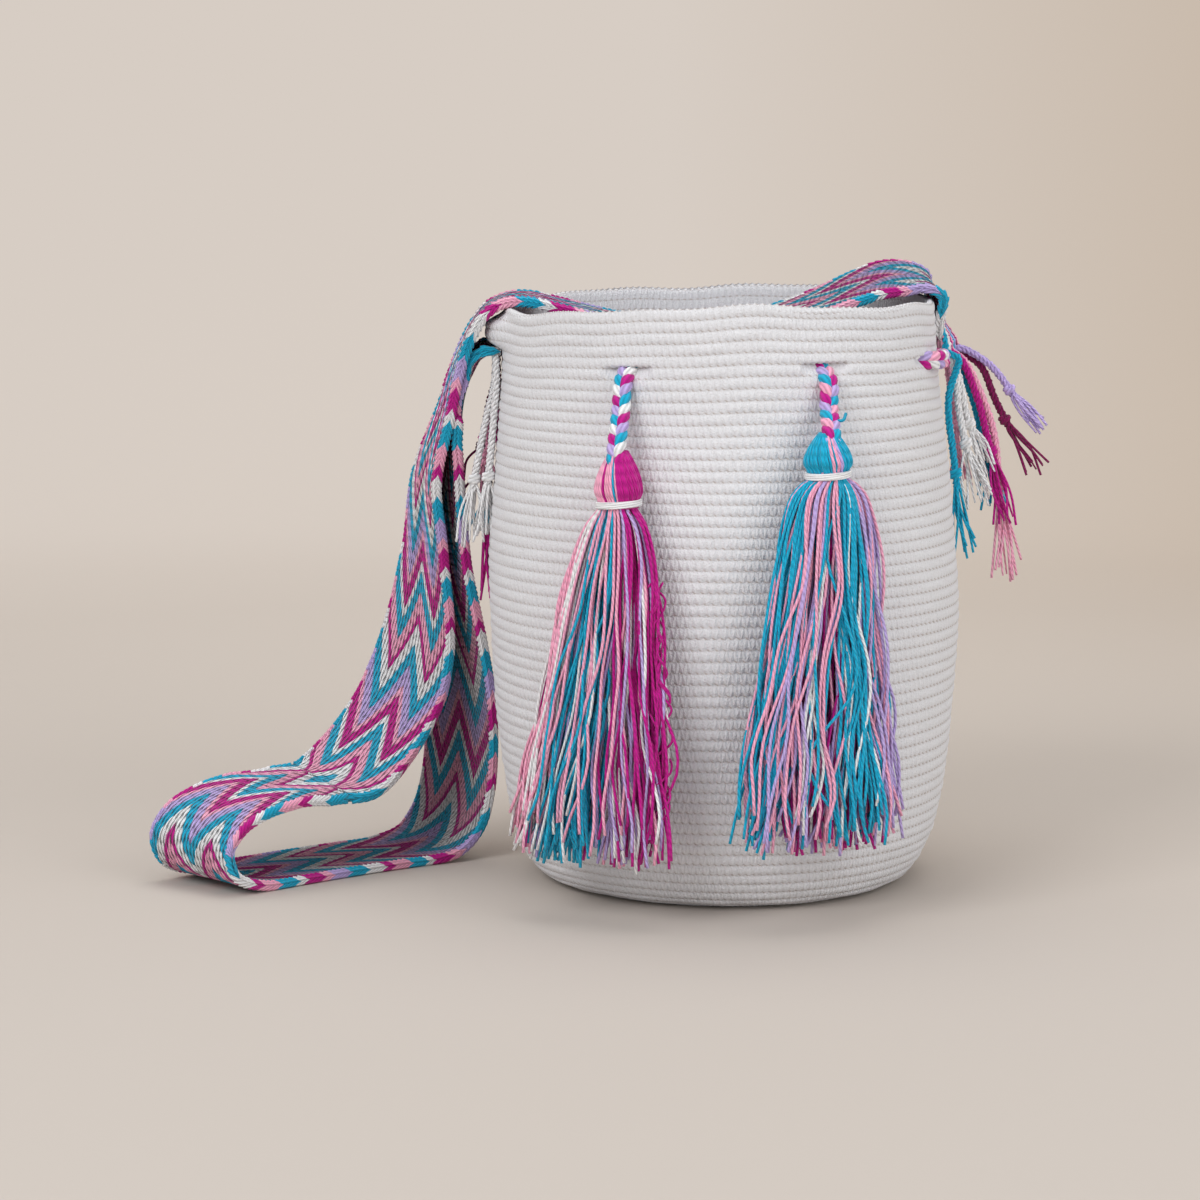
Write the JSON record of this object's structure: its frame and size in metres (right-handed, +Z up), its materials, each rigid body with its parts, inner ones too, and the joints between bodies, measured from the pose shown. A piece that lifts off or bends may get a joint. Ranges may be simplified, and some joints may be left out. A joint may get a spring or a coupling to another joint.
{
  "type": "wayuu mochila bag",
  "caption": "Soft crocheted bucket bag with an open mouth, a plaited drawstring that ends in long tassels, and a wide chevron-patterned shoulder strap lying at its side.",
  "frame": {"origin": "centre of the flat base, on the surface the bag stands on", "axes": "+Z up through the mouth, -Y towards the side with the tassels, +X to the right of someone facing the tassels"},
  "size_m": [0.4484, 0.2662, 0.3054],
  "materials": {
    "crochet": "matte cotton single crochet in rows",
    "strap_weave": "hand-interlaced cotton band with chevrons in five colours",
    "plait": "four-strand cotton plait in five colours",
    "yarn_blue": "twisted cotton yarn",
    "yarn_magenta": "twisted cotton yarn",
    "yarn_pink": "twisted cotton yarn",
    "yarn_lavender": "twisted cotton yarn",
    "yarn_white": "twisted cotton yarn"
  },
  "bodies": {
    "bag": {"bag_body": "crochet", "drawstring_neck": "plait", "strap_band": "strap_weave", "right_fringe_blue": "yarn_blue", "right_fringe_white_front": "yarn_white", "right_fringe_white_back": "yarn_white", "right_fringe_magenta": "yarn_magenta", "right_fringe_pink": "yarn_pink", "right_fringe_teal": "yarn_blue", "right_fringe_lavender": "yarn_lavender", "right_fringe_burgundy": "yarn_magenta", "right_fringe_rose": "yarn_pink", "left_fringe_wall": "yarn_magenta", "left_fringe_white_front": "yarn_white", "left_fringe_white_back": "yarn_white", "left_fringe_pink": "yarn_pink", "left_fringe_blue": "yarn_blue", "left_fringe_plum": "yarn_magenta", "left_fringe_magenta": "yarn_magenta"},
    "left_run": {"left_eyelet_run": "plait"},
    "left_drop": {"left_drop_braid": "plait", "left_tassel_head": "yarn_magenta", "left_tassel_binding": "yarn_white", "left_tassel_skirt": "yarn_pink"},
    "right_run": {"right_eyelet_run": "plait"},
    "right_drop": {"right_drop_braid": "plait", "right_tassel_head": "yarn_blue", "right_tassel_binding": "yarn_white", "right_tassel_skirt": "yarn_blue"}
  },
  "joints": [
    {"name": "left_sway", "type": "hinge", "parent": "bag", "child": "left_run", "pos_m": [-0.0509, -0.09767, 0.262], "axis": [-0.4384, -0.8988, 0], "range_deg": [-25, 4]},
    {"name": "left_lift", "type": "hinge", "parent": "left_run", "child": "left_drop", "pos_m": [-0.05099, -0.09785, 0.262], "axis": [-0.8988, 0.4384, 0], "range_deg": [0, 80]},
    {"name": "right_sway", "type": "hinge", "parent": "bag", "child": "right_run", "pos_m": [0.04437, -0.09767, 0.262], "axis": [0.4384, -0.8988, 0], "range_deg": [-4, 25]},
    {"name": "right_lift", "type": "hinge", "parent": "right_run", "child": "right_drop", "pos_m": [0.04446, -0.09785, 0.262], "axis": [-0.8988, -0.4384, 0], "range_deg": [0, 80]}
  ]
}
